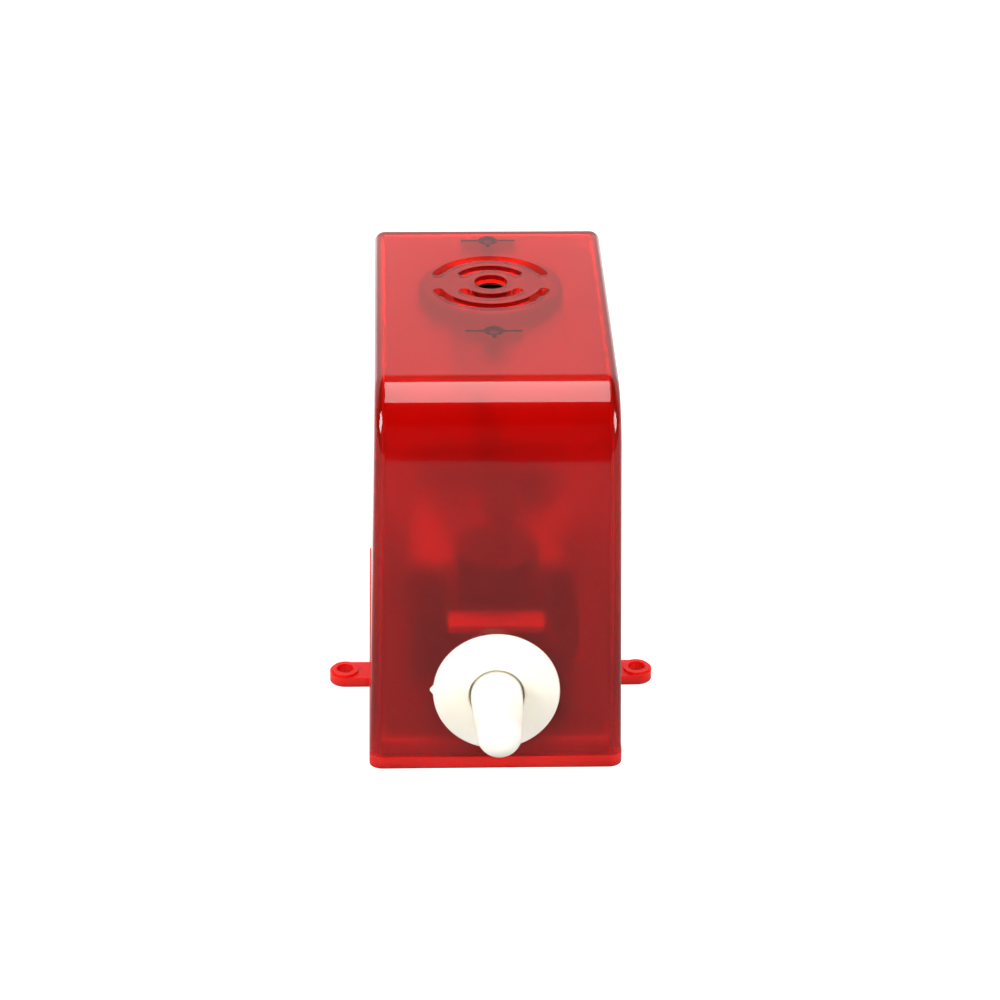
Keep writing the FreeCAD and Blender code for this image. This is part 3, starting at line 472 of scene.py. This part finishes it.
# Dome: a quarter wave of sine from rim to hub. Thread: a cosine along the barrel.
dome = np.linspace(0, 1, 24)
dome_r = FLANGE_R - RIM_ROUND - dome * (FLANGE_R - RIM_ROUND - HUB_R)
dome_s = -RIM_THICK - DOME_RISE * np.sin(dome * math.pi / 2)
thread_s = np.linspace(THREAD_FROM, THREAD_TO, 85)
thread_r = BARREL_R - THREAD_DEPTH * (0.5 + 0.5 * np.cos(2 * math.pi * thread_s / THREAD_PITCH))
profile = (arc(FLANGE_R - RIM_ROUND, RIM_ROUND - RIM_THICK, RIM_ROUND, 0, -90, 8)
           + list(zip(dome_r[1:-1], dome_s[1:-1]))
           + arc(HUB_R - 0.1, LIP_AT, LIP_ROUND, -90, -180, 6)
           + [(MOUTH_R, MOUTH_AT), (BORE_R + BORE_EASE, BORE_AT)]
           + [(BORE_R + BORE_EASE, BARREL_END - END_BEVEL), (BORE_R + END_BEVEL, BARREL_END)]
           + [(BARREL_R - 0.7, BARREL_END), (BARREL_R - 0.6, BARREL_END - 0.1)]
           + list(zip(thread_r[::-1], thread_s[::-1]))
           + [(BARREL_R, THREAD_RELIEF), (BARREL_R, 0.0)]
           + [(FLANGE_R - 0.05, 0.0), (FLANGE_R, -0.05)])
r, s, angle = turned(profile, 180)
# The gate stub stands out of the rim as a flat-topped bump: e to the minus fourth power.
on_rim = (r > FLANGE_R - 0.25) * (s < -0.1)
gate = GATE_TALL * np.exp(-((angle - GATE_AT) / GATE_W) ** 4) * on_rim
r = r + gate
grid = on_switch(r * np.cos(angle), s, r * np.sin(angle))
# Moulded nylon: a soft shine on a milky body that light sinks a little way into.
nylon = moulded("warm white nylon, moulded", "#fbf5e6", 0.42, 0.8, 0.008, drift=0.02,
                Subsurface_Weight=0.5, Subsurface_Radius=(1.0, 0.9, 0.7),
                Subsurface_Scale=2.0 * MM)
flange = surface_mesh("switch_flange", grid, True, False, nylon)
smooth_by_angle(flange, 40)
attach(flange, "housing")
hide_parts("switch_body")
dress(nylon, "guide_nut", "barrel_cap")


# ---------------------------------------------------------------- plunger
# Turned and polished rod of white acetal. It swells from a ball at the tip to its full size
# where it slides in the barrel, and a thin stem behind carries the cone that lifts the lever.
BALL_R = 5.15
BALL_AT = -20.8
BODY_R = 5.9
BODY_FROM = -4.0
BODY_END = 1.0
STEM_R = 2.0
STEM_END = 21.9
EDGE = 0.2
PARTING, PARTING_W = 0.03, 0.02
# The flank widens evenly from ball to body, with a fine line where the two meet.
swell = np.linspace(0, 1, 30)
flank_r = BALL_R + (BODY_R - BALL_R) * swell - PARTING * np.exp(-(swell / PARTING_W) ** 2)
flank_s = BALL_AT + (BODY_FROM - BALL_AT) * swell
profile = (arc(0.0, BALL_AT, BALL_R, -90, -3, 32) + list(zip(flank_r, flank_s))
           + arc(BODY_R - EDGE, BODY_END - EDGE, EDGE, 0, 90, 5)
           + [(STEM_R + EDGE, BODY_END), (STEM_R, BODY_END + EDGE)]
           + arc(STEM_R - EDGE, STEM_END - EDGE, EDGE, 0, 90, 5) + [(0.0, STEM_END)])
r, s, angle = turned(profile, 96)
grid = on_switch(r * np.cos(angle), s, r * np.sin(angle))
# Turned acetal: smoother and milkier than the nylon, with a softer edge to its shadows.
acetal = moulded("white acetal, turned smooth", "#fdf9ec", 0.3, 0.8, 0.005, drift=0.02,
                 Subsurface_Weight=0.6, Subsurface_Radius=(1.0, 0.95, 0.8),
                 Subsurface_Scale=4.0 * MM)
plunger = surface_mesh("plunger_rod", grid, False, True, acetal)
smooth_by_angle(plunger, 40)
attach(plunger, "plunger")
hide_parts("plunger")
dress(acetal, "plunger_cam")


# ---------------------------------------------------------------- plunger spring
# Coil of drawn spring steel between the plunger's shoulder and the cap, wound with its first
# and last turns closed and the rest open.
WIRE_R = 0.3
COIL_R = 3.6
COIL_TURNS = 7
COIL_GAP = 0.1
COIL_CLOSE = 0.11
COIL_FROM = BODY_END + WIRE_R + COIL_GAP
COIL_TO = BARREL_END - WIRE_R - COIL_GAP
# A ring is carried along a helix. A sine on the rise closes the ends, which taper to points.
turn = np.linspace(0, 1, 24 * COIL_TURNS + 1)
rise = turn - COIL_CLOSE * np.sin(2 * math.pi * turn)
coil_angle = 2 * math.pi * COIL_TURNS * turn
tube = np.linspace(0, 2 * math.pi, 10, endpoint=False)
thin = np.concatenate([[0.0, 0.7], np.ones(len(turn) - 4), [0.7, 0.0]])
radius = COIL_R + (WIRE_R * thin)[:, None] * np.cos(tube)
s = (COIL_FROM + (COIL_TO - COIL_FROM) * rise)[:, None] + (WIRE_R * thin)[:, None] * np.sin(tube)
grid = on_switch(radius * np.cos(coil_angle)[:, None], s, radius * np.sin(coil_angle)[:, None])
# Drawn wire: bright metal, with a faint unevenness.
spring_steel = moulded("drawn spring steel", "#9a9a98", 0.28, 5.0, 0.004, metallic=1.0)
spring = surface_mesh("plunger_coil", grid, False, True, spring_steel)
smooth_by_angle(spring, 60)
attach(spring, "housing")
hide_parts("plunger_spring")
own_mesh(spring)


# ---------------------------------------------------------------- microswitch and its bracket
# Small black switch with a sprung strip that the plunger's cone tilts, on a ribbed black post.
# Two plated screws hold it, and its three solder blades are tinned.
# Spark-textured ABS is a dull black; zinc and tin are bright, with a soft unevenness.
black = moulded("black ABS, spark textured", "#17181a", 0.5, 3.0, 0.02)
zinc = moulded("zinc plated steel", "#c9c9c4", 0.3, 4.0, 0.006, metallic=1.0)
brass = moulded("tinned brass, stamped", "#cfc08a", 0.3, 4.0, 0.006, metallic=1.0)
dress(black, "microswitch_case", "microswitch_button", "switch_bracket")
dress(spring_steel, "microswitch_lever")
dress(brass, "microswitch_terminals")
dress(zinc, "switch_screws", "cover_screws")


# ---------------------------------------------------------------- battery and its box
# Black open box with a painted steel battery lying in it. A moulded clip joins its terminals,
# and a foam pad stops it from rattling.
# The jacket has a hard grey shine; the foam has none, and coarse cells.
jacket = moulded("painted steel jacket", "#41454e", 0.3, 1.0, 0.01)
foam = moulded("closed cell foam", "#4a4a4c", 0.9, 2.0, 0.2)
dress(black, "battery_box", "battery_snap")
dress(jacket, "battery")
dress(brass, "battery_terminals")
dress(foam, "battery_pad")


# ---------------------------------------------------------------- circuit board
# Pale paper laminate, which carries the choke coil on its tongue and the small parts behind
# it. The coil's winding is dark enamelled wire on a ferrite drum.
# The laminate is a dull, pale straw colour; ferrite and resin are dull blacks; the enamel and
# the shrunk sleeve shine; the resin coat is a smooth tan.
laminate = moulded("phenolic paper laminate", "#e6d8ac", 0.5, 0.7, 0.01, drift=0.12)
ferrite = moulded("sintered ferrite", "#232325", 0.55, 2.5, 0.03)
copper = moulded("copper wire under dark enamel", "#33190f", 0.3, 2.0, 0.01)
resin = moulded("moulded epoxy resin", "#1a1a1c", 0.5, 3.0, 0.02)
sleeve = moulded("shrunk PVC sleeve", "#10131c", 0.3, 1.0, 0.01)
coat = moulded("baked resin coat", "#c8a878", 0.4, 2.0, 0.01)
dress(laminate, "circuit_board")
dress(ferrite, "coil_core")
dress(copper, "choke_coil")
dress(resin, "driver_chip", "transistor", "diode")
dress(brass, "chip_legs")
dress(sleeve, "capacitor")
dress(coat, "resistors")
dress(zinc, "board_screws")


# ---------------------------------------------------------------- buzzer
# Black sounder case under the grille, with a brass disc inside it. A strap of the cover's own
# red plastic holds it to two bosses.
SOUNDER_RIM = 15.6 * MM
RIM_BLUR = 0.3 * MM
# A dull black rim that reads as a dark ring through the cover, round a paler face.
made, tree = material("black ABS, with a paler sounding face")
bump, _ = grain(tree, 3.0, 0.02)
place = node(tree, "ShaderNodeTexCoord")
from_middle = node(tree, "ShaderNodeVectorMath", {"operation": "SUBTRACT"},
                   {0: place.outputs["Object"]}, _1=sounder.tolist())
flat = node(tree, "ShaderNodeVectorMath", {"operation": "MULTIPLY"},
            {0: from_middle.outputs[0]}, _1=(1.0, 1.0, 0.0))
reach = node(tree, "ShaderNodeVectorMath", {"operation": "LENGTH"}, {0: flat.outputs[0]})
face = node(tree, "ShaderNodeMapRange", links={"Value": reach.outputs["Value"]},
            From_Min=SOUNDER_RIM, From_Max=SOUNDER_RIM + RIM_BLUR)
shade = node(tree, "ShaderNodeMix", {"data_type": "RGBA"}, {0: face.outputs[0]},
             _6=linear("#6b5b58"), _7=linear("#060606"))
surface = node(tree, "ShaderNodeBsdfPrincipled",
               links={"Normal": bump.outputs[0], "Base Color": shade.outputs[2]}, Roughness=0.6)
dress(finish_material(made, surface), "buzzer_case")
dress(brass, "buzzer_disc")
dress(textured, "buzzer_strap")
# Blackened screws: dark, with a low sheen.
black_steel = moulded("blackened steel", "#141414", 0.35, 4.0, 0.006)
dress(black_steel, "buzzer_screws")


# ---------------------------------------------------------------- leads
# Thin dark red covered wires: battery to board, board to buzzer, and switch to board.
# Soft PVC: an even, low shine.
cover_of_wire = moulded("PVC wire cover", "#5a0f10", 0.35, 1.0, 0.01)
dress(cover_of_wire, "battery_leads", "buzzer_leads", "switch_leads")
